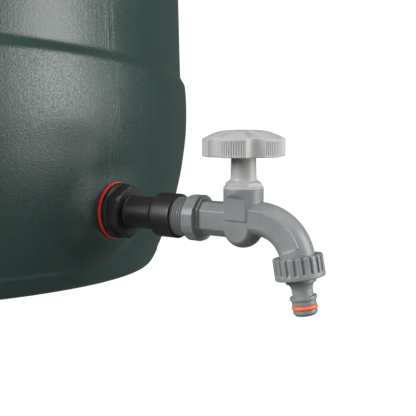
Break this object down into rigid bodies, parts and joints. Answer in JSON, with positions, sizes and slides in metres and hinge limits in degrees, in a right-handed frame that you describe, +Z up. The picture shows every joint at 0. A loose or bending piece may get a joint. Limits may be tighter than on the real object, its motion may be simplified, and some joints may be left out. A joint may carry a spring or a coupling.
{
  "type": "rain barrel",
  "caption": "Round dark green plastic rain barrel with a bulged foot band, a push-on lid and a grey bib tap with a lobed handwheel and hose nose",
  "frame": {"origin": "middle of the standing surface, on the barrel's upright axis", "axes": "+Z up, +X from the barrel's axis towards the tap"},
  "size_m": [0.6687, 0.518, 0.8095],
  "materials": {
    "barrel_green": "semi-gloss dark green blow-moulded polyethylene with fine grain, flow streaks and scuffs",
    "lid_green": "satin dark green polyethylene",
    "red_rubber": "satin red rubber",
    "black_rubber": "matt black rubber",
    "black_plastic": "satin black polypropylene",
    "tap_grey": "satin mid grey moulded plastic",
    "light_grey": "satin light grey moulded plastic",
    "spindle_white": "smooth white acetal",
    "steel": "stainless steel",
    "orange_rubber": "satin orange rubber"
  },
  "bodies": {
    "barrel": {"barrel_body": "barrel_green", "outlet_seal": "red_rubber", "inner_seal": "black_rubber", "lock_nut": "black_plastic", "tank_connector": "black_plastic", "extension_socket": "black_plastic", "extension_o_ring": "black_rubber", "inlet_washer": "black_rubber", "tap_body": "tap_grey", "bonnet": "light_grey", "bonnet_seal": "black_rubber"},
    "valve": {"jumper": "spindle_white", "valve_washer": "black_rubber", "washer_screw": "steel"},
    "wheel": {"handwheel": "light_grey", "spindle": "spindle_white", "spindle_o_rings": "black_rubber"},
    "nose": {"hose_nose": "tap_grey", "nose_o_ring": "orange_rubber", "outlet_washer": "black_rubber"},
    "nut": {"ring_nut": "tap_grey"},
    "lid": {"lid": "lid_green"}
  },
  "joints": [
    {"name": "valve_lift", "type": "slide", "parent": "barrel", "child": "valve", "axis": [0.04, -0.0698, 0.9968], "range_m": [0, 0.004]},
    {"name": "handwheel_turn", "type": "hinge", "parent": "valve", "child": "wheel", "pos_m": [0.35572, 0, 0.06013], "axis": [0.04, -0.0698, 0.9968], "range_deg": [0, 720]},
    {"name": "nose_drop", "type": "slide", "parent": "barrel", "child": "nose", "axis": [0.1341, 0.0687, -0.9886], "range_m": [0, 0.0018]},
    {"name": "ring_nut_turn", "type": "hinge", "parent": "nose", "child": "nut", "pos_m": [0.3929, 0.00137, 0.03902], "axis": [0.1341, 0.0687, -0.9886], "range_deg": [0, 360]},
    {"name": "lid_lift", "type": "slide", "parent": "barrel", "child": "lid", "axis": [0, 0, 1], "range_m": [0, 0.25]}
  ],
  "couplings": [
    {"joint": "valve_lift", "follows": "handwheel_turn", "m_per_rad": 0.000318},
    {"joint": "nose_drop", "follows": "ring_nut_turn", "m_per_rad": 0.000286}
  ]
}
